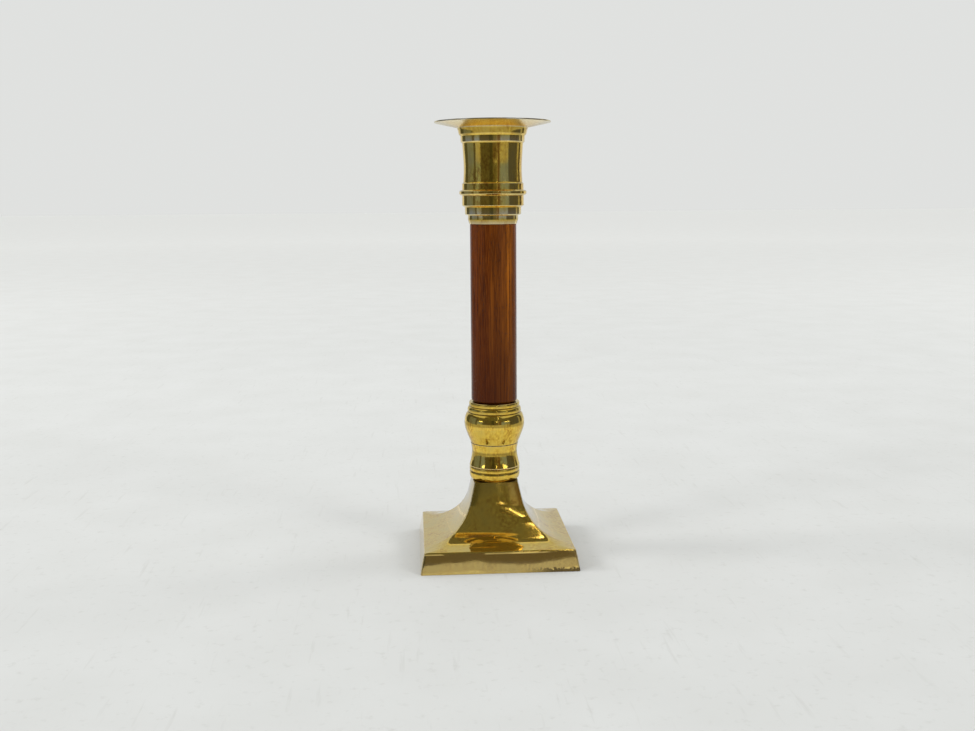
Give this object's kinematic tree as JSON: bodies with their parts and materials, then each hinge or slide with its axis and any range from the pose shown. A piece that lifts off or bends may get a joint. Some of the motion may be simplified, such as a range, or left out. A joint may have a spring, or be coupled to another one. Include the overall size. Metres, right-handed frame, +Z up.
{
  "type": "candlestick",
  "caption": "Turned brass candlestick with a flared square foot, beaded knop, slim dark wood column and waisted socket under a wide lift-out drip pan.",
  "frame": {"origin": "centre of the square foot, at the height of the surface that it stands on", "axes": "+Z up along the stem's axis, +X and +Y square to the sides of the foot"},
  "size_m": [0.0754, 0.0754, 0.21],
  "materials": {
    "brass": "polished, lightly worn",
    "wood": "satin, dark red-brown",
    "steel": "dull zinc plate"
  },
  "bodies": {
    "stand": {"foot": "brass", "foot_collar": "brass", "lower_knop": "brass", "upper_knop": "brass", "wood_column": "wood", "column_cap": "brass", "capital": "brass", "candle_socket": "brass", "tie_rod": "steel", "foot_washer": "steel", "lock_washer": "steel", "foot_nut": "steel"},
    "pan": {"drip_pan": "brass"}
  },
  "joints": [
    {"name": "drip_pan_lift", "type": "slide", "parent": "stand", "child": "pan", "axis": [0, 0, 1], "range_m": [0, 0.03]}
  ]
}
